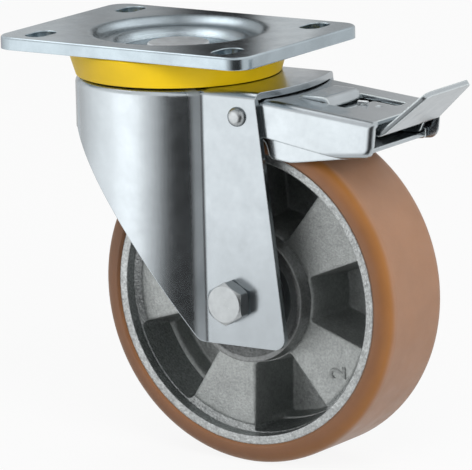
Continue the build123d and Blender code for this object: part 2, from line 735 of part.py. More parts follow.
def pocket(side, spread, tilt):
    """Pocket cast into the web from one side of the wheel, with draft on all its walls."""
    depth = rim_w / 2 + pocket_over + web_w / 2 - web_t
    mouth = sector(hub_r + pocket_edge, rim_in - pocket_edge, spread)
    plane = Plane.YZ.offset(side * (rim_w / 2 + pocket_over))
    core = extrude(plane * mouth, -side * depth, taper=draft)
    upright = core.edges().filter_by(lambda e: abs((e @ 1).X - (e @ 0).X) > depth / 2)
    return Rot(-tilt, 0, 0) * fillet(upright, pocket_r)


def casting():
    """Wheel centre as cast: hub, rim and a web that pockets from both sides fold into pads."""
    w, h = web_w / 2, hub_w / 2
    key = rim_w / 2 - 2.5
    half = [
        (bearing_in, bearing_r, 0), (bearing_out, bearing_r, 0), (h - 0.6, hub_r - hub_bevel - 0.6, 0),
        (h, hub_r - hub_bevel, 0), (h, hub_r, 0), (w, web_in, 0), (w, web_out, 0),
        (w + pad_root, web_out + pad_root + root_rise, 0), (h, rim_in, 0), (h, rim_r, 0),
        (key, rim_r, 0), (key - 1.5, rim_r - rim_key, 0),
    ]
    left = [(-x, r, c) for x, r, c in reversed(half)]
    step = [(-bearing_in, bearing_r - race_out_t, 0), (bearing_in, bearing_r - race_out_t, 0)]
    body = revolve(rounded(Plane.XY, *step, *half, *left), Axis.X)
    for i in range(arm_count):
        turn = arm_tilt + 360 * i / arm_count
        body -= pocket(1, pocket_right, turn)
        body -= pocket(-1, pocket_left, turn + 180 / arm_count)
    return body


def within(r):
    """Cylinder about the X axis that takes in the whole width of the wheel."""
    return extrude(Plane.YZ * Circle(r), rim_w, both=True)


def pad_cells(body):
    """The web in cells, each a pad with the half of its side walls, which meet face to face."""
    edge = (360 / arm_count + pocket_right - pocket_left) / 4
    cells = []
    for i in range(arm_count):
        turn = arm_tilt + 360 * i / arm_count
        for middle, half in ((turn, edge), (turn + 180 / arm_count, 180 / arm_count - edge)):
            a = math.radians(half)
            reach = 2 * wheel_r
            wedge = Polygon((0, 0), (reach * math.sin(a), -reach * math.cos(a)),
                            (-reach * math.sin(a), -reach * math.cos(a)), align=None)
            slice_x = Rot(-middle, 0, 0) * extrude(Plane.YZ * wedge, rim_w, both=True)
            cells.append((body & slice_x).solid())
    return Compound(cells)


def tyre():
    key = rim_w / 2 - 2.5
    h = tyre_w / 2
    half = [
        (key - 1.5, rim_r - rim_key, 0), (key, rim_r, 0), (rim_w / 2, rim_r, 0),
        (h, rim_r + 1.2, 0), (h, wheel_r, shoulder_r),
    ]
    left = [(-x, r, c) for x, r, c in reversed(half)]
    return turned_x(*half, *left)


# ---- write one file per piece -----------------------------------------------------------
# The wheel centre is one casting. It is kept as its hub, its rim and the cells of its web,
# so that the deep pockets stay open where each piece is taken as a few convex blocks.
cast = casting()

pieces = {
    "top_plate": top_plate(),
    "kingpin": kingpin(),
    "clamp_sleeve": clamp_sleeve(),
    "lower_race": lower_race(),
    "lock_disc": lock_disc(),
    "lock_teeth": lock_teeth(),
    "kingpin_nut": kingpin_nut(),
    "seal_ring": seal_ring(),
    "upper_balls": ball_row(upper_count, upper_track_r, upper_ball_r, upper_ball_z),
    "lower_balls": ball_row(lower_count, lower_track_r, lower_ball_r, lower_ball_z),
    "fork": fork(),
    "brake_housing": brake_housing(),
    "pivot_rivet_left": pivot_rivet(-1),
    "pivot_rivet_right": pivot_rivet(1),
    "brake_lever": brake_lever(),
    "brake_shoe": brake_shoe(),
    "pedal_pin": pedal_pin(),
    "pedal": pedal(),
    "return_spring": return_spring(),
    "axle_bolt": axle_bolt(),
    "axle_nut": axle_nut(),
    "axle_tube": axle_tube(),
    "side_bush_left": side_bush(-1),
    "side_bush_right": side_bush(1),
    "bearing_spacer": bearing_spacer(),
    "bearing_inner_left": bearing_inner(-1),
    "bearing_inner_right": bearing_inner(1),
    "bearing_outer_left": bearing_outer(-1),
    "bearing_outer_right": bearing_outer(1),
    "wheel_hub": Pos(0, axle_y, axle_z) * (cast & within(web_in)),
    "wheel_web": Pos(0, axle_y, axle_z) * pad_cells(cast & (within(web_out) - within(web_in))),
    "wheel_rim": Pos(0, axle_y, axle_z) * (cast - within(web_out)),
    "tyre": tyre(),
}

os.makedirs("parts", exist_ok=True)
for name, shape in pieces.items():
    shape.label = name
    export_step(shape, "parts/" + name + ".step")
    print(name, "volume", round(shape.volume), "solids", len(shape.solids()))
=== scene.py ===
# %% [markdown]
# # A swivel castor with a total brake
#
# The castor is a pressed steel fork that turns under a bolted plate, with a cast wheel, a brown
# tread and a foot pedal behind. The CAD model already holds every piece at its real size. This file
# adds what the CAD model can't hold: the camera, the light, and a finish for each piece. We start
# by loading that model and by keeping its outer box.

import json
import math

import bmesh
import bpy
from mathutils import Matrix, Vector


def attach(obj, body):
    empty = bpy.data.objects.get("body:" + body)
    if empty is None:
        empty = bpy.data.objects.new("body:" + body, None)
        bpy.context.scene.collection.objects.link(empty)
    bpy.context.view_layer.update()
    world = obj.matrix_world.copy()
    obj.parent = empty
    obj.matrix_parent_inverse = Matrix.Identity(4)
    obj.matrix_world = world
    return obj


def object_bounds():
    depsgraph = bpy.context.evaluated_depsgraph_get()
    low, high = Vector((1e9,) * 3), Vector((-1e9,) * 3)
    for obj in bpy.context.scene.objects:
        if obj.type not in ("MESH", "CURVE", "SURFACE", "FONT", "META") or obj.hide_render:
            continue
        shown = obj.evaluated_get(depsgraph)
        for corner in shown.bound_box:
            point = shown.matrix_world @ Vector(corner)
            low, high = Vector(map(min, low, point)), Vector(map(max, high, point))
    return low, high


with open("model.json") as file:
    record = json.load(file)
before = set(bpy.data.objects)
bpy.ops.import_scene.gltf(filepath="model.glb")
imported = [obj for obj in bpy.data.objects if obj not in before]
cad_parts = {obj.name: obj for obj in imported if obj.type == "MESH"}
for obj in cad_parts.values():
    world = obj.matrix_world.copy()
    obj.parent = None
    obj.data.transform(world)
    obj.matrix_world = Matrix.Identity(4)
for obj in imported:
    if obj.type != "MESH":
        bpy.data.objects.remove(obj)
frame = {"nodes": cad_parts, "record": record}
nodes = frame["nodes"]
cad_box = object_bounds()
MM = 0.001
print("nodes", len(nodes), "box", [tuple(round(v, 4) for v in corner) for corner in cad_box])

# %% [markdown]
# ## Camera
#
# A long lens far away keeps parallel edges nearly parallel, as in a catalogue picture of a
# small part. The place of the eye, the direction that it looks in and its right-hand side say
# everything about such a camera, so we write those three and let the code work out the rest.

# %% The camera
EYE = Vector((-2.14034, -1.44454, 0.45002))
LOOK = Vector((0.81601, 0.53928, -0.20811))
RIGHT = Vector((0.55485, -0.83158, -0.02485))
LENS_MM = 424.5
SENSOR_MM = 36
SEES_TO = 20   # metres


def aim(eye, look, right):
    """Matrix of a camera at eye that looks along look, with right to its right."""
    z = -look.normalized()
    x = (right - right.dot(z) * z).normalized()
    y = z.cross(x)
    turn = Matrix((x, y, z)).transposed()
    return Matrix.Translation(eye) @ turn.to_4x4()


lens = bpy.data.cameras.new("catalogue_lens")
lens.lens = LENS_MM
lens.sensor_width = SENSOR_MM
lens.clip_end = SEES_TO
camera = bpy.data.objects.new("catalogue_camera", lens)
camera.matrix_world = aim(EYE, LOOK, RIGHT)
bpy.context.scene.collection.objects.link(camera)
bpy.context.scene.camera = camera
bpy.context.scene.view_settings.view_transform = "Standard"
print("camera", tuple(round(v, 3) for v in camera.location), "lens", lens.lens)

# %% [markdown]
# ## Node helpers
#
# Every finish below is a small network of shader nodes. One helper keeps those networks
# readable: `add` makes a node and fills its input sockets, each with a plain value or with the
# socket that feeds it. The others are short forms for the nodes that turn up most. The texture
# space is always the object's own, in metres, so a scale of 400 gives detail of about 2.5 mm.

# %% Add and join nodes
def feed(tree, target, value):
    """Join value to the socket target if it is a socket, else set it there."""
    if isinstance(value, bpy.types.NodeSocket):
        tree.links.new(value, target)
    else:
        target.default_value = value


def add(tree, kind, inputs=None, **settings):
    """A node of that kind, with its settings and with what its input sockets take."""
    node = tree.nodes.new(kind)
    for name, value in settings.items():
        setattr(node, name, value)
    for socket, value in (inputs or {}).items():
        feed(tree, node.inputs[socket], value)
    return node


# %% Short forms for common nodes
# A Mix node has its sockets for every kind of data, so they are told apart by number.
MIX_SHARE, MIX_VALUES, MIX_COLOURS, MIX_COLOUR_OUT = 0, (2, 3), (6, 7), 2


def calc(tree, operation, first, second):
    """Result of a Math node."""
    return add(tree, "ShaderNodeMath", {0: first, 1: second}, operation=operation).outputs[0]


def vector_calc(tree, operation, first, second):
    """Result of a Vector Math node."""
    node = add(tree, "ShaderNodeVectorMath", {0: first, 1: second}, operation=operation)
    return node.outputs[0]


def mix_colours(tree, share, low, high, blend_type="MIX"):
    """Colour between low, at share 0, and high, at share 1."""
    inputs = {MIX_SHARE: share, MIX_COLOURS[0]: low, MIX_COLOURS[1]: high}
    node = add(tree, "ShaderNodeMix", inputs, data_type="RGBA", blend_type=blend_type)
    return node.outputs[MIX_COLOUR_OUT]


def mix_values(tree, share, low, high):
    """Value between low, at share 0, and high, at share 1."""
    inputs = {MIX_SHARE: share, MIX_VALUES[0]: low, MIX_VALUES[1]: high}
    return add(tree, "ShaderNodeMix", inputs, data_type="FLOAT").outputs[0]


def scaled(colour, factor):
    """A colour times a factor, at full alpha and no brighter than 1."""
    return (*[min(1.0, c * factor) for c in colour], 1)


# %% New materials and node groups
def new_material(name):
    """A material with a Principled BSDF. Gives the material, its tree and the shader."""
    material = bpy.data.materials.new(name)
    material.use_nodes = True
    tree = material.node_tree
    return material, tree, tree.nodes["Principled BSDF"]


def new_group(name, inputs, outputs):
    """A shader node group whose sockets are given as (kind, name, default) and (kind, name)."""
    tree = bpy.data.node_groups.new(name, "ShaderNodeTree")
    for kind, label, default in inputs:
        socket = tree.interface.new_socket(label, in_out="INPUT", socket_type="NodeSocket" + kind)
        socket.default_value = default
    for kind, label in outputs:
        tree.interface.new_socket(label, in_out="OUTPUT", socket_type="NodeSocket" + kind)
    return tree, tree.nodes.new("NodeGroupInput"), tree.nodes.new("NodeGroupOutput")


def use(tree, group, inputs=None):
    """Place a node group in a material, with its own inputs."""
    node = tree.nodes.new("ShaderNodeGroup")
    node.node_tree = group
    for socket, value in (inputs or {}).items():
        feed(tree, node.inputs[socket], value)
    return node


# %% [markdown]
# ## Floor and world
#
# The castor stands on a pale floor in front of white. Light Path tells a material what kind
# of ray has hit it: rays from the camera and mirror rays see white, and all other rays see
# the plain surface, so the floor still takes the castor's soft shadow and lights it from below.

# %% The floor
FLOOR_Z = cad_box[0].z
FLOOR_HALF = 4.0
FLOOR_GREY = (0.66, 0.66, 0.66, 1)
WHITE = (1, 1, 1, 1)
WHITE_SHARE = 0.90   # how much of the floor's look is plain white


def sees_white(tree):
    """1 for rays from the camera and for mirror and glass rays, 0 for the others."""
    path = add(tree, "ShaderNodeLightPath").outputs
    mirror = calc(tree, "MAXIMUM", path["Is Glossy Ray"], path["Is Transmission Ray"])
    return calc(tree, "MAXIMUM", path["Is Camera Ray"], mirror)


mesh = bpy.data.meshes.new("floor")
mesh.from_pydata([(x * FLOOR_HALF, y * FLOOR_HALF, FLOOR_Z)
                  for x, y in ((-1, -1), (1, -1), (1, 1), (-1, 1))], [], [(0, 1, 2, 3)])
floor = bpy.data.objects.new("floor", mesh)
bpy.context.scene.collection.objects.link(floor)
floor_paint, tree, shader = new_material("floor_paint")
shader.inputs["Base Color"].default_value = FLOOR_GREY
shader.inputs["Roughness"].default_value = 0.9
shader.inputs["Specular IOR Level"].default_value = 0.0
white = add(tree, "ShaderNodeEmission", {"Color": WHITE, "Strength": 1.0})
share = calc(tree, "MULTIPLY", sees_white(tree), WHITE_SHARE)
blend = add(tree, "ShaderNodeMixShader", {0: share, 1: shader.outputs[0], 2: white.outputs[0]})
feed(tree, tree.nodes["Material Output"].inputs["Surface"], blend.outputs[0])
floor.data.materials.append(floor_paint)
print("floor at", round(FLOOR_Z, 4))

# %% The world
AMBIENT = 0.50
world = bpy.data.worlds.new("studio")
world.use_nodes = True
bpy.context.scene.world = world
tree = world.node_tree
level = add(tree, "ShaderNodeMapRange",
            {"Value": sees_white(tree), "To Min": AMBIENT, "To Max": 1.0})
backdrop = tree.nodes["Background"]
feed(tree, backdrop.inputs["Strength"], level.outputs["Result"])
backdrop.inputs["Color"].default_value = WHITE
print("ambient", AMBIENT)

# %% [markdown]
# ## Lamps
#
# Large area lamps give soft light with slow falloff. The main one stands high over the camera,
# one fills from the right and one lifts the rear edge. They are sized to light the castor at a
# plain level: a grey card would come out about as grey as it is. The lamps are hidden from
# mirror rays, because the cards of the next step decide what the metal shows.

# %% The lamps
CENTRE = (cad_box[0] + cad_box[1]) / 2


def soft_box(name, place, size, watts):
    """Square area lamp that points at the middle of the castor."""
    lamp = bpy.data.lights.new(name, "AREA")
    lamp.shape = "SQUARE"
    lamp.size = size
    lamp.energy = watts
    box = bpy.data.objects.new(name, lamp)
    box.location = Vector(place)
    box.rotation_euler = (CENTRE - box.location).to_track_quat("-Z", "Y").to_euler()
    box.visible_glossy = False
    bpy.context.scene.collection.objects.link(box)


soft_box("main_box", (-1.25, -0.75, 1.2), size=1.0, watts=15)
soft_box("fill_box", (-0.8, -1.6, 0.5), size=0.9, watts=19)
soft_box("rear_box", (1.4, 0.2, 1.1), size=0.9, watts=8)

# %% [markdown]
# ## Cards for the metal
#
# Bright metal has hardly any colour of its own: it looks like what stands around it. In a
# studio, white and black cards are set round the object, and the curved sheet shows them as
# long upright bands. Here a wide, low ring does that for the upright faces, with a flat ring at
# its foot for their lower ends. A short arc close behind the plate does it for the faces that
# look up, and a higher arc with a ceiling over it puts the bright lines on bent edges. Only
# mirror rays see the cards, so they light nothing and cast nothing. Their brightness depends on
# the direction round the castor, written as pairs of an angle in degrees (0 is along +X) and a
# strength.

# %% A card that bends round the castor
def card_arc(name, inner, outer, first, last, steps):
    """Band about the swivel axis between two (radius, height) rims, from first to last degree."""
    grid = bmesh.new()
    angles = [math.radians(first + (last - first) * i / steps) for i in range(steps + 1)]
    low, high = [[grid.verts.new((r * math.cos(a), r * math.sin(a), z)) for a in angles]
                 for r, z in (inner, outer)]
    for i in range(steps):
        grid.faces.new((low[i], low[i + 1], high[i + 1], high[i]))
    mesh = bpy.data.meshes.new(name)
    grid.to_mesh(mesh)
    grid.free()
    card = bpy.data.objects.new(name, mesh)
    bpy.context.scene.collection.objects.link(card)
    card.visible_camera = False
    card.visible_diffuse = False
    card.visible_shadow = False
    card.visible_transmission = False
    return card


# %% The direction round the castor
def turn_share(tree):
    """Direction round the Z axis, from 0 to 1 of a turn."""
    place = add(tree, "ShaderNodeTexCoord").outputs["Object"]
    part = add(tree, "ShaderNodeSeparateXYZ", {0: place}).outputs
    angle = calc(tree, "ARCTAN2", part["Y"], part["X"])
    turns = calc(tree, "MULTIPLY", angle, 1 / (2 * math.pi))
    return add(tree, "ShaderNodeMath", {0: turns}, operation="FRACT").outputs[0]


# %% A card's brightness
def card_glow(name, spots):
    """Emission that follows (angle, strength) pairs round the Z axis."""
    material, tree, shader = new_material(name)
    tree.nodes.remove(shader)
    curve = add(tree, "ShaderNodeFloatCurve", {"Value": turn_share(tree)})
    most = max(strength for angle, strength in spots)
    points = curve.mapping.curves[0].points
    while len(points) < len(spots):
        points.new(0.5, 0.5)
    for point, (angle, strength) in zip(points, sorted(spots)):
        point.location = (angle / 360, strength / most)
        point.handle_type = "AUTO_CLAMPED"
    curve.mapping.update()
    strength = calc(tree, "MULTIPLY", curve.outputs[0], most)
    glow = add(tree, "ShaderNodeEmission", {"Color": WHITE, "Strength": strength})
    feed(tree, tree.nodes["Material Output"].inputs["Surface"], glow.outputs[0])
    return material


# %% Spots of the ring and its foot, for the upright faces
RING_SPOTS = [
    (0, 0.8), (40, 0.8), (70, 0.7), (95, 1.0), (118, 1.35), (134, 1.5), (144, 1.85), (156, 1.95),
    (166, 1.80), (174, 1.30), (184, 0.90), (193, 0.52), (202, 0.15), (209, 0.06), (238, 0.05),
    (246, 0.8), (262, 1.1), (290, 1.05), (312, 0.95), (330, 0.95), (360, 0.8),
]
FOOT_SPOTS = [
    (0, 0.85), (90, 0.95), (130, 1.15), (150, 1.35), (168, 1.25), (178, 0.9), (186, 0.5),
    (194, 0.12), (202, 0.04), (225, 0.04), (234, 0.6), (246, 1.0), (300, 0.9), (330, 0.85),
    (360, 0.85),
]
print("spots on the ring", len(RING_SPOTS), "on its foot", len(FOOT_SPOTS))

# %% Spots of the arcs and the ceiling, for the faces that look up and for the bent edges
ARC_SPOTS = [
    (0, 0.46), (5, 0.46), (9, 0.66), (13, 0.76), (17, 0.66), (20, 0.30), (23, 0.03), (28, 0.04),
    (32, 0.14), (37, 0.36), (43, 0.48), (47, 0.44), (52, 0.52), (59, 0.66), (70, 0.70), (80, 0.75),
    (330, 0.75), (346, 0.62), (356, 0.56), (360, 0.46),
]
HIGH_SPOTS = [
    (0, 0.9), (8, 0.5), (16, 0.40), (55, 0.40), (70, 0.8), (84, 2.0), (110, 2.6), (150, 2.2),
    (320, 1.2), (345, 1.8), (353, 1.5), (360, 0.9),
]
CEILING_SPOTS = [
    (0, 0.6), (15, 0.22), (55, 0.22), (80, 0.9), (110, 1.6), (150, 1.2), (190, 0.3), (240, 0.3),
    (270, 0.9), (300, 1.4), (340, 1.2), (360, 0.6),
]
print("spots on the arcs", len(ARC_SPOTS), len(HIGH_SPOTS), "on the ceiling", len(CEILING_SPOTS))

# %% The cards
# Each row holds the two rims, the first and last degree, the steps between and the spots.
RING_FOOT = FLOOR_Z + 0.001
CARDS = {
    "ring_card": ((0.45, RING_FOOT), (0.45, 0.09), 0, 360, 96, RING_SPOTS),
    "foot_card": ((0.19, RING_FOOT), (0.449, RING_FOOT), 0, 360, 96, FOOT_SPOTS),
    "arc_card": ((0.16, 0.002), (0.16, 0.12), -35, 80, 64, ARC_SPOTS),
    "high_card": ((0.16, 0.121), (0.14, 0.34), -40, 150, 64, HIGH_SPOTS),
    "ceiling_card": ((0.139, 0.342), (0.001, 0.38), 0, 360, 48, CEILING_SPOTS),
}
for name, (inner, outer, first, last, steps, spots) in CARDS.items():
    card = card_arc(name, inner, outer, first, last, steps)
    card.data.materials.append(card_glow(name + "_glow", spots))
print("cards", list(CARDS))

# %% [markdown]
# ## Shared effects
#
# Three effects turn up in several finishes, so each is a node group with its own values in
# every material: a soft rounding of hard edges, which also gives a mask that is bright along
# them, cloudy variation as on a plated surface, and fine grain for the skin of a casting or a
# moulding.

# %% Rounded edges
# The Bevel node looks at the surface close by and bends the shading normal round an edge.
edges, entry, result = new_group(
    "Rounded Edges",
    [("Float", "Radius", 0.0006)],
    [("Vector", "Normal"), ("Float", "Edge")],
)
bevel = add(edges, "ShaderNodeBevel", {"Radius": entry.outputs["Radius"]}, samples=6)
flat = add(edges, "ShaderNodeNewGeometry")
likeness = add(edges, "ShaderNodeVectorMath", {0: bevel.outputs[0], 1: flat.outputs["Normal"]},
               operation="DOT_PRODUCT")
mask = add(edges, "ShaderNodeMapRange",
           {"Value": likeness.outputs["Value"], "From Min": 0.995, "From Max": 0.90})
feed(edges, result.inputs["Normal"], bevel.outputs[0])
feed(edges, result.inputs["Edge"], mask.outputs["Result"])
print("group", edges.name)

# %% Clouds
clouds, entry, result = new_group(
    "Clouds",
    [("Float", "Scale", 60.0), ("Float", "Low", 0.0), ("Float", "High", 1.0)],
    [("Float", "Value")],
)
space = add(clouds, "ShaderNodeTexCoord")
noise = add(clouds, "ShaderNodeTexNoise",
            {"Vector": space.outputs["Object"], "Scale": entry.outputs["Scale"],
             "Detail": 5.0, "Roughness": 0.6})
level = add(clouds, "ShaderNodeMapRange",
            {"Value": noise.outputs["Fac"], "From Min": 0.32, "From Max": 0.68,
             "To Min": entry.outputs["Low"], "To Max": entry.outputs["High"]})
feed(clouds, result.inputs["Value"], level.outputs["Result"])
print("group", clouds.name)

# %% Grain
grain, entry, result = new_group(
    "Grain",
    [("Float", "Scale", 1500.0), ("Float", "Strength", 0.1), ("Float", "Depth", 0.0002),
     ("Vector", "Stretch", (1, 1, 1)), ("Vector", "Normal", (0, 0, 0))],
    [("Vector", "Normal")],
)
space = add(grain, "ShaderNodeTexCoord")
stretched = vector_calc(grain, "MULTIPLY", space.outputs["Object"], entry.outputs["Stretch"])
noise = add(grain, "ShaderNodeTexNoise",
            {"Vector": stretched, "Scale": entry.outputs["Scale"],
             "Detail": 3.0, "Roughness": 0.55})
bump = add(grain, "ShaderNodeBump",
           {"Height": noise.outputs["Fac"], "Strength": entry.outputs["Strength"],
            "Distance": entry.outputs["Depth"], "Normal": entry.outputs["Normal"]})
feed(grain, result.inputs["Normal"], bump.outputs["Normal"])
print("group", grain.name)

# %% [markdown]
# Every finish uses these groups in the same few ways, so we write each way down once: a colour
# that clouds darken, a roughness that drifts in clouds, edges of a given radius, and grain.

# %% Ways to use them
def cloudy_colour(tree, colour, darkest, scale):
    """Colour that clouds darken, down to the share darkest of it."""
    patches = use(tree, clouds, {"Scale": scale})
    return mix_colours(tree, patches.outputs["Value"], scaled(colour, darkest), scaled(colour, 1))


def cloudy_value(tree, middle, lowest, highest, scale):
    """Value that drifts in clouds between two shares of its middle."""
    patches = use(tree, clouds, {"Scale": scale, "Low": middle * lowest, "High": middle * highest})
    return patches.outputs["Value"]


def rounded(tree, edge_mm):
    """Shading normal that is rounded along hard edges."""
    return use(tree, edges, {"Radius": edge_mm * MM}).outputs["Normal"]


def grained(tree, normal, scale, strength, depth, stretch=(1, 1, 1)):
    """Shading normal with grain on top of it."""
    inputs = {"Scale": scale, "Strength": strength, "Depth": depth, "Stretch": stretch,
              "Normal": normal}
    return use(tree, grain, inputs).outputs["Normal"]


# %% Places and directions
def ramp_of(tree, output, axis, low, high):
    """Ramp from 0 at low to 1 at high along the size of one part of a texture coordinate.

    output is Object, for the place in metres, or Normal, for the way that the face looks."""
    vector = add(tree, "ShaderNodeTexCoord").outputs[output]
    part = add(tree, "ShaderNodeSeparateXYZ", {0: vector}).outputs[axis]
    size = add(tree, "ShaderNodeMath", {0: part}, operation="ABSOLUTE").outputs[0]
    ramp = add(tree, "ShaderNodeMapRange", {"Value": size, "From Min": low, "From Max": high})
    return ramp.outputs["Result"]


def radius_about(tree, across, centre=(0, 0, 0)):
    """Distance in metres from a line through centre.

    across has 1 for the two directions that lie across the line, and 0 for its own."""
    place = add(tree, "ShaderNodeTexCoord").outputs["Object"]
    level = vector_calc(tree, "MULTIPLY", vector_calc(tree, "SUBTRACT", place, centre), across)
    length = add(tree, "ShaderNodeVectorMath", {0: level}, operation="LENGTH")
    return length.outputs["Value"]


# %% [markdown]
# ## Zinc plated sheet
#
# Bright zinc is a thin, slightly blue coat on rolled steel. It mirrors the room softly, and three
# things keep it from looking like chrome: the coat is cloudy, the sheet under it has the faint
# grain of rolling, and edges are painted brighter, partly as wear and partly as a painted highlight
# along bends and rims. The Clouds group drives colour and roughness, Grain the bump, and Rounded
# Edges softens what the press left sharp.

# %% Zinc plated sheet
ZINC_ROUGHNESS = 0.22   # the middle of a cloudy range
MATT_ROUGHNESS = 0.55
WEAR_AND_HIGHLIGHT_SHARE = 0.6        # how much of the brighter edge colour an edge takes: partly wear, partly painted highlight
ROLLED = {"scale": 900.0, "strength": 0.12, "depth": 0.00012}   # the grain of rolling


def zinc(name, colour, edge_mm=0.5, soft=None, stretch=(1, 1, 1), cloud=60.0, wear_and_highlight_to=1.45,
         cloudy=0.90, painted_shade_mask=None, painted_shade_to=1.0, matt=None):
    """Zinc plated steel with clouds of the scale cloud, from cloudy to full brightness.

    Edges are painted brighter, partly as wear and partly as a painted highlight along bends and
    rims. dull is a function that builds a mask of the places painted darker as painted shade, and
    painted_shade_to their brightness. matt builds a mask of rougher places, and soft the radius of
    rounding in metres, where it isn't edge_mm all over."""
    material, tree, shader = new_material(name)
    surface = cloudy_colour(tree, colour, cloudy, cloud)
    # Painted shade: the places of the mask are painted darker.
    if painted_shade_mask:
        surface = mix_colours(tree, painted_shade_mask(tree), surface, (painted_shade_to, painted_shade_to, painted_shade_to, 1), "MULTIPLY")
    rounding = use(tree, edges, {"Radius": soft(tree) if soft else edge_mm * MM})
    # Edges are painted brighter: partly wear, partly a painted highlight along bends and rims.
    wear_and_highlight = calc(tree, "MULTIPLY", rounding.outputs["Edge"], WEAR_AND_HIGHLIGHT_SHARE)
    roughness = cloudy_value(tree, ZINC_ROUGHNESS, lowest=0.85, highest=1.2, scale=cloud * 2.7)
    if matt:
        roughness = mix_values(tree, matt(tree), roughness, MATT_ROUGHNESS)
    shader.inputs["Metallic"].default_value = 1.0
    feed(tree, shader.inputs["Base Color"],
         mix_colours(tree, wear_and_highlight, surface, scaled(colour, wear_and_highlight_to)))
    feed(tree, shader.inputs["Roughness"], roughness)
    feed(tree, shader.inputs["Normal"],
         grained(tree, rounding.outputs["Normal"], stretch=stretch, **ROLLED))
    return material


# %% Where the coat is painted darker as painted shade
# The fork's flat legs and the plate's upright sides are painted darker, as painted shade. The press
# has matted the bend into the fork's flat legs, which only makes it rougher. Each place has a mask
# made from where it lies or faces.
LEG_X, LEG_EDGE = 0.0342, 0.0006   # the legs' outer faces lie within LEG_X of the middle plane
BEND_X = (0.0385, 0.0365)   # from where the bend begins to where it is at its fullest
UPRIGHT = (0.6, 0.2)        # upward part of the normal, from none to all of the mask


def leg_painted_shade(tree):
    """Mask of the fork's flat legs, by their distance from the middle plane, where they are painted
    darker as painted shade.
    """
    return ramp_of(tree, "Object", "X", LEG_X + LEG_EDGE, LEG_X)


def bend_line(tree):
    """Mask of the last bit of the drum before it bends into the flat legs."""
    off_leg = ramp_of(tree, "Object", "X", LEG_X, LEG_X + LEG_EDGE)
    return calc(tree, "MULTIPLY", ramp_of(tree, "Object", "X", *BEND_X), off_leg)


def side_painted_shade(tree):
    """Mask of upright faces, which the plate paints darker as painted shade."""
    return ramp_of(tree, "Normal", "Z", *UPRIGHT)


# %% Where the plate is rounder
# The dish is pressed, so its slope blends softly into the plate. The plate's outer edge and the
# floor of the cup stay sharp. Each rim is a pair of distances from the swivel axis, in metres.
DISH_RIM = (0.050, 0.046)
CUP_RIM = (0.0268, 0.0275)
SHARP, SOFT = 0.0008, 0.005   # radii of rounding in metres


def dish_rounding(tree):
    """Radius of rounding on the plate: wide on the slope of its dish, small elsewhere."""
    radius = radius_about(tree, (1, 1, 0))
    inside = add(tree, "ShaderNodeMapRange",
                 {"Value": radius, "From Min": DISH_RIM[0], "From Max": DISH_RIM[1]})
    outside = add(tree, "ShaderNodeMapRange",
                  {"Value": radius, "From Min": CUP_RIM[0], "From Max": CUP_RIM[1],
                   "To Min": SHARP, "To Max": SOFT})
    return mix_values(tree, inside.outputs["Result"], SHARP, outside.outputs["Result"])


# %% The three zinc finishes
# Brighter edges are partly wear and partly painted highlight; thin_zinc and plate_zinc take the
# strongest.
sheet_zinc = zinc("sheet_zinc", (0.50, 0.545, 0.575), stretch=(1, 1, 0.12),
                  # The flat legs are painted darker as painted shade.
                  painted_shade_mask=leg_painted_shade, painted_shade_to=0.76, matt=bend_line)
plate_zinc = zinc("plate_zinc", (0.455, 0.53, 0.575), soft=dish_rounding, stretch=(0.3, 1, 1),
                  # The plate's upright sides are painted darker as painted shade.
                  cloud=46.0, wear_and_highlight_to=1.7, cloudy=0.80, painted_shade_mask=side_painted_shade, painted_shade_to=0.86)
thin_zinc = zinc("thin_zinc", (0.455, 0.495, 0.52), edge_mm=1.2, wear_and_highlight_to=2.0)
print("zinc", [m.name for m in (sheet_zinc, plate_zinc, thin_zinc)])

# %% [markdown]
# ## Turned and cold formed steel
#
# Bolts, rivets and pins are the same steel without the rolled sheet's grain. A turned face
# keeps fine rings from the lathe, so a wave texture round the axis bends the normal a little.

# %% Turned steel
RING_SCALE = 210.0
TURNED_EDGE_MM = 0.4


def turned_steel(name, colour, roughness, axis, centre):
    """Steel with lathe rings round an axis ("X" or "Z") through a centre, in metres."""
    material, tree, shader = new_material(name)
    place = add(tree, "ShaderNodeTexCoord").outputs["Object"]
    rings = add(tree, "ShaderNodeTexWave",
                {"Vector": vector_calc(tree, "SUBTRACT", place, centre),
                 "Scale": RING_SCALE, "Distortion": 0.8, "Detail": 2.0},
                wave_type="RINGS", rings_direction=axis)
    bump = add(tree, "ShaderNodeBump",
               {"Height": rings.outputs["Fac"], "Strength": 0.10, "Distance": 0.00005,
                "Normal": rounded(tree, TURNED_EDGE_MM)})
    shader.inputs["Metallic"].default_value = 1.0
    feed(tree, shader.inputs["Base Color"],
         cloudy_colour(tree, colour, darkest=0.85, scale=220.0))
    feed(tree, shader.inputs["Roughness"],
         cloudy_value(tree, roughness, lowest=0.8, highest=1.25, scale=500.0))
    feed(tree, shader.inputs["Normal"], bump.outputs["Normal"])
    return material


record_joints = {joint["name"]: joint for joint in frame["record"]["behaviour"]["joints"]}
AXLE = Vector(record_joints["wheel_spin"]["pos_m"])
STEEL = (0.44, 0.465, 0.475)
SWIVEL = Vector((0, 0, 0))
axle_steel = turned_steel("axle_steel", STEEL, 0.34, "X", AXLE)
pin_steel = turned_steel("pin_steel", (0.74, 0.77, 0.79), 0.46, "Z", SWIVEL)
ball_steel = turned_steel("ball_steel", (0.62, 0.63, 0.65), 0.12, "Z", SWIVEL)
print("axle at", tuple(AXLE))

# %% [markdown]
# ## Cast aluminium
#
# The wheel centre is die cast. Its skin is matt and slightly rough, the corners are soft
# because metal flows round them, and the machined rim is smoother than the pads. A larger
# radius in Rounded Edges gives the soft corners, and two sizes of grain give the skin.

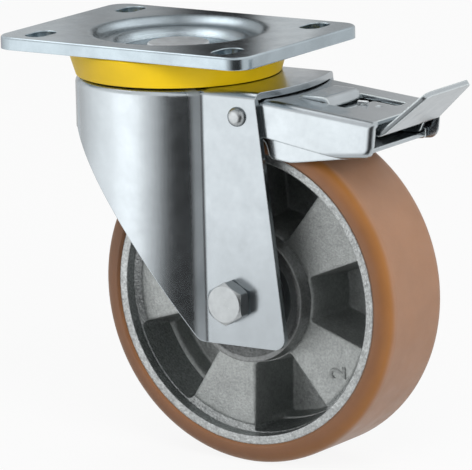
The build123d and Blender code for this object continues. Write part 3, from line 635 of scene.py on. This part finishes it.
# %% Cast aluminium
def cast_metal(name, colour, roughness, edge_mm, coarse, fine, speckle):
    """Die cast aluminium: two sizes of grain in its skin, and speckle in its colour."""
    material, tree, shader = new_material(name)
    spotted = add(tree, "ShaderNodeVectorMath",
                  {0: cloudy_colour(tree, colour, darkest=0.82, scale=90.0),
                   "Scale": cloudy_value(tree, 1, 1 - speckle, 1 + speckle, scale=850.0)},
                  operation="SCALE")
    skin = grained(tree, rounded(tree, edge_mm), scale=420.0, strength=coarse, depth=0.0006)
    shader.inputs["Metallic"].default_value = 1.0
    feed(tree, shader.inputs["Base Color"], spotted.outputs[0])
    feed(tree, shader.inputs["Roughness"],
         cloudy_value(tree, roughness, lowest=0.9, highest=1.12, scale=300.0))
    feed(tree, shader.inputs["Normal"],
         grained(tree, skin, scale=1100.0, strength=fine, depth=0.0004))
    return material


pad_cast = cast_metal("pad_cast", (0.43, 0.45, 0.445), roughness=0.55, edge_mm=2.2,
                      coarse=0.5, fine=0.6, speckle=0.16)
rim_cast = cast_metal("rim_cast", (0.44, 0.46, 0.46), roughness=0.34, edge_mm=0.9,
                      coarse=0.6, fine=0.9, speckle=0.30)
hub_cast = cast_metal("hub_cast", (0.26, 0.27, 0.27), roughness=0.50, edge_mm=1.4,
                      coarse=0.5, fine=0.6, speckle=0.20)
print("cast", pad_cast.name, rim_cast.name, hub_cast.name)

# %% [markdown]
# ## Yellow sealing ring
#
# A moulded plastic ring closes the gap between the plate and the fork. It is a full yellow
# with a satin skin. Plastic reflects without tinting, so the shader stays non-metallic.

# %% Yellow plastic
def moulded(name, colour, roughness, edge_mm):
    """Moulded plastic with a faint cloudiness and a satin skin."""
    material, tree, shader = new_material(name)
    shader.inputs["Specular IOR Level"].default_value = 0.22
    feed(tree, shader.inputs["Base Color"], cloudy_colour(tree, colour, darkest=0.93, scale=45.0))
    feed(tree, shader.inputs["Roughness"],
         cloudy_value(tree, roughness, lowest=0.9, highest=1.15, scale=200.0))
    feed(tree, shader.inputs["Normal"],
         grained(tree, rounded(tree, edge_mm), scale=1200.0, strength=0.06, depth=0.0001))
    return material


ring_yellow = moulded("ring_yellow", (0.84, 0.56, 0.006), roughness=0.42, edge_mm=0.8)
print("plastic", ring_yellow.name)

# %% [markdown]
# ## Brown tread
#
# The tread is cast polyurethane: an even brown that lets a little light into its skin, which
# makes thin corners glow warmer than the flat faces. Its side is darker than the face that
# runs on the floor, so its colour follows the distance from the wheel's middle plane.

# %% Tread
TREAD_BANDS = [
    (0.00, (0.195, 0.088, 0.040)),   # the flat side
    (0.20, (0.215, 0.090, 0.028)),
    (0.50, (0.240, 0.096, 0.020)),   # the shoulder
    (0.66, (0.250, 0.108, 0.032)),
    (0.90, (0.280, 0.148, 0.084)),   # the running face
]
SIDE_X, RUN_X = 0.0249, 0.0188   # where the row of bands starts and ends
BAND_DRIFT = 0.06                # how far clouds move a band, as a share of the row


def band_colour(tree, bands):
    """Colour from the bands across the tread, with a soft, cloudy border between them."""
    shift = add(tree, "ShaderNodeMath",
                {0: ramp_of(tree, "Object", "X", SIDE_X, RUN_X),
                 1: cloudy_value(tree, BAND_DRIFT, lowest=-1, highest=1, scale=25.0)},
                operation="ADD", use_clamp=True)
    ramp = add(tree, "ShaderNodeValToRGB", {0: shift.outputs[0]})
    stops = ramp.color_ramp.elements
    while len(stops) < len(bands):
        stops.new(0.5)
    for stop, (place, colour) in zip(stops, bands):
        stop.position = place
        stop.color = (*colour, 1)
    return ramp.outputs["Color"]


def tread(name, bands, roughness, edge_mm):
    """Polyurethane: satin brown that lets a little light in."""
    material, tree, shader = new_material(name)
    shader.inputs["Specular IOR Level"].default_value = 0.4
    shader.inputs["Subsurface Weight"].default_value = 0.10
    shader.inputs["Subsurface Radius"].default_value = (0.006, 0.003, 0.0015)
    shader.inputs["Subsurface Scale"].default_value = 1.0
    drift = cloudy_value(tree, 1, lowest=0.94, highest=1.05, scale=70.0)
    tint = add(tree, "ShaderNodeVectorMath", {0: band_colour(tree, bands), "Scale": drift},
               operation="SCALE")
    feed(tree, shader.inputs["Base Color"], tint.outputs[0])
    feed(tree, shader.inputs["Roughness"],
         cloudy_value(tree, roughness, lowest=0.9, highest=1.15, scale=120.0))
    feed(tree, shader.inputs["Normal"],
         grained(tree, rounded(tree, edge_mm), scale=700.0, strength=0.05, depth=0.0002))
    return material


brown_tread = tread("brown_tread", TREAD_BANDS, roughness=0.42, edge_mm=0.8)
print("tread", brown_tread.name)

# %% [markdown]
# ## Bearing seals
#
# The wheel turns on two sealed ball bearings. The CAD ring holds the steel outer race and its
# dark rubber seal in one solid, so one material tells them apart by their distance from the
# axle: steel outside, rubber inside.

# %% Bearing rings
SEAL_OUT = 0.0202   # radius where the seal ends and the race begins


def bearing(name, rubber, steel):
    """Steel race outside the radius SEAL_OUT, rubber seal inside it."""
    material, tree, shader = new_material(name)
    metal = calc(tree, "GREATER_THAN", radius_about(tree, (0, 1, 1), AXLE), SEAL_OUT)
    feed(tree, shader.inputs["Base Color"],
         mix_colours(tree, metal, scaled(rubber, 1), scaled(steel, 1)))
    feed(tree, shader.inputs["Metallic"], metal)
    feed(tree, shader.inputs["Roughness"],
         cloudy_value(tree, 1, lowest=0.3, highest=0.45, scale=400.0))
    feed(tree, shader.inputs["Normal"], rounded(tree, edge_mm=0.3))
    return material


seal_and_race = bearing("seal_and_race", (0.02, 0.02, 0.022), STEEL)
print("bearing", seal_and_race.name)

# %% [markdown]
# ## The raised figure on a pad
#
# Castings often carry a plain figure that tells the moulds of one machine apart. It stands a
# fraction of a millimetre proud of the pad. A text curve with a little extrusion and a round
# edge gives it, turned so that its foot points outwards with a lean, and it rides on the wheel.

# %% The shape of the figure
FIGURE_TALL = 0.0085
FIGURE_PROUD = 0.0003
FIGURE_BOLD = 0.00008   # how far its strokes are thickened
LETTER_SHARE = 0.7      # height of a figure in a font of size 1


def raised_figure(name, text):
    """Text that lies in the XY plane and stands up along Z, as a mesh."""
    curve = bpy.data.curves.new(name, "FONT")
    curve.body = text
    curve.size = FIGURE_TALL / LETTER_SHARE
    curve.align_x = "CENTER"
    curve.align_y = "CENTER"
    curve.extrude = FIGURE_PROUD
    curve.bevel_depth = FIGURE_PROUD * 0.5
    curve.bevel_resolution = 1
    curve.offset = FIGURE_BOLD
    shape = bpy.data.objects.new(name, curve)
    bpy.context.scene.collection.objects.link(shape)
    mesh = bpy.data.meshes.new_from_object(shape)
    bpy.data.objects.remove(shape)
    figure = bpy.data.objects.new(name, mesh)
    bpy.context.scene.collection.objects.link(figure)
    return figure


# %% Its place on the lower pad
PAD_X = -0.0165
FIGURE_R = 0.0567     # from the axle
FIGURE_ANGLE = 54.7   # degrees from straight down towards the rear
FIGURE_LEAN = 38      # degrees from pointing at the axle

angle = math.radians(FIGURE_ANGLE)
outward = Vector((0, -math.sin(angle), -math.cos(angle)))
facing = Vector((-1, 0, 0))
upward = Matrix.Rotation(math.radians(FIGURE_LEAN), 3, facing) @ -outward
across = upward.cross(facing)
turn = Matrix((across, upward, facing)).transposed()
spot = AXLE + outward * FIGURE_R + Vector((PAD_X - AXLE.x, 0, 0))
figure = raised_figure("pad_figure", "2")
figure.data.transform(Matrix.Translation(spot) @ turn.to_4x4())
figure.data.materials.append(pad_cast)
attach(figure, "wheel")
print("figure", len(figure.data.polygons), "faces")

# %% [markdown]
# ## Dressing the pieces
#
# Each CAD node now takes its finish. A table from finish to nodes keeps the choice in one
# place, and the last line prints any node that was forgotten.

# %% Assign the materials
FINISH = {
    plate_zinc: ["top_plate"],
    sheet_zinc: ["fork", "lower_race", "lock_disc", "lock_teeth"],
    thin_zinc: ["brake_housing", "brake_lever", "brake_shoe", "pedal"],
    pin_steel: ["kingpin", "clamp_sleeve", "kingpin_nut", "return_spring"],
    axle_steel: ["axle_bolt", "axle_nut", "axle_tube", "side_bush_left", "side_bush_right",
                 "bearing_spacer", "pivot_rivet_left", "pivot_rivet_right", "pedal_pin",
                 "bearing_inner_left", "bearing_inner_right"],
    ball_steel: ["upper_balls", "lower_balls"],
    seal_and_race: ["bearing_outer_left", "bearing_outer_right"],
    ring_yellow: ["seal_ring"],
    pad_cast: ["wheel_web"],
    hub_cast: ["wheel_hub"],
    rim_cast: ["wheel_rim"],
    brown_tread: ["tyre"],
}
dressed = set()
for material, names in FINISH.items():
    for name in names:
        item = nodes[name]
        item.data.materials.clear()
        item.data.materials.append(material)
        dressed.add(name)
print("dressed", len(dressed), "bare", sorted(set(nodes) - dressed))
